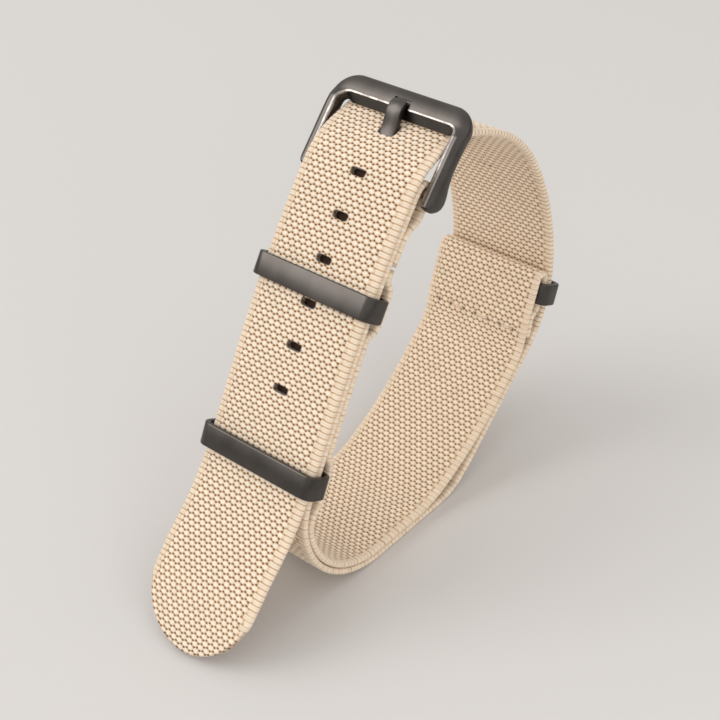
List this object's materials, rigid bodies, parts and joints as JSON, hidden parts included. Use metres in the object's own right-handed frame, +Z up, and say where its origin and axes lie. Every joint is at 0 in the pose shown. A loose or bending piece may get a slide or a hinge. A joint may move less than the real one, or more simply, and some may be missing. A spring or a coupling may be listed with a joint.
{
  "type": "nato watch strap",
  "caption": "Woven sand-coloured slip-through watch strap, buckled into a standing wrist loop, with gunmetal frame buckle, tongue, keeper rings and spring bar.",
  "frame": {"origin": "on the ground, below the middle of the bounding box", "axes": "+X from the free tip towards the far side of the wrist loop, +Y across the strap away from the viewer, +Z up"},
  "size_m": [0.0788, 0.0246, 0.0665],
  "materials": {
    "webbing": "matt woven nylon webbing, sand",
    "thread": "matt sewing thread, sand",
    "gunmetal": "satin gunmetal plating with worn bright edges",
    "bar_steel": "satin steel"
  },
  "bodies": {
    "strap": {"long_strap": "webbing", "short_strap": "webbing", "stitching_buckle_fold": "thread", "stitching_short_top": "thread", "stitching_keeper_upper": "thread", "stitching_keeper_lower": "thread", "stitching_front": "thread", "stitching_end_fold": "thread"},
    "frame": {"buckle_frame": "gunmetal"},
    "tongue": {"buckle_tongue": "gunmetal"},
    "barrel": {"spring_bar_barrel": "bar_steel", "spring_bar_spring": "bar_steel"},
    "plunger_near": {"spring_bar_plunger_near": "bar_steel"},
    "plunger_far": {"spring_bar_plunger_far": "bar_steel"},
    "keeper_upper": {"keeper_upper": "gunmetal"},
    "keeper_lower": {"keeper_lower": "gunmetal"},
    "keeper_end": {"keeper_end": "gunmetal"}
  },
  "joints": [
    {"name": "frame_tilt", "type": "hinge", "parent": "strap", "child": "frame", "pos_m": [0.0078, 0, 0.05735], "axis": [0, -1, 0], "range_deg": [0, 1.5]},
    {"name": "tongue_tilt", "type": "hinge", "parent": "frame", "child": "tongue", "pos_m": [0.0078, 0, 0.05735], "axis": [0, -1, 0], "range_deg": [0, 1.5]},
    {"name": "barrel_spin", "type": "hinge", "parent": "strap", "child": "barrel", "pos_m": [0.0078, 0, 0.05735], "axis": [0, 1, 0], "continuous": true},
    {"name": "plunger_near_press", "type": "slide", "parent": "barrel", "child": "plunger_near", "axis": [0, 1, 0], "range_m": [0, 0.0013], "stiffness_N_per_m": 400, "springref_m": -0.003, "deforming": ["spring_bar_spring"]},
    {"name": "plunger_far_press", "type": "slide", "parent": "barrel", "child": "plunger_far", "axis": [0, -1, 0], "range_m": [0, 0.0013], "stiffness_N_per_m": 400, "springref_m": -0.003, "deforming": ["spring_bar_spring"]},
    {"name": "keeper_upper_rock", "type": "hinge", "parent": "strap", "child": "keeper_upper", "pos_m": [-0.00271, 0, 0.04379], "axis": [0, 1, 0], "range_deg": [-2, 2]},
    {"name": "keeper_lower_rock", "type": "hinge", "parent": "strap", "child": "keeper_lower", "pos_m": [-0.017, 0, 0.0221], "axis": [0, 1, 0], "range_deg": [-2, 2]},
    {"name": "keeper_end_swing", "type": "hinge", "parent": "strap", "child": "keeper_end", "pos_m": [0.0348, 0, 0.02615], "axis": [0, 1, 0], "range_deg": [-2, 2]}
  ]
}
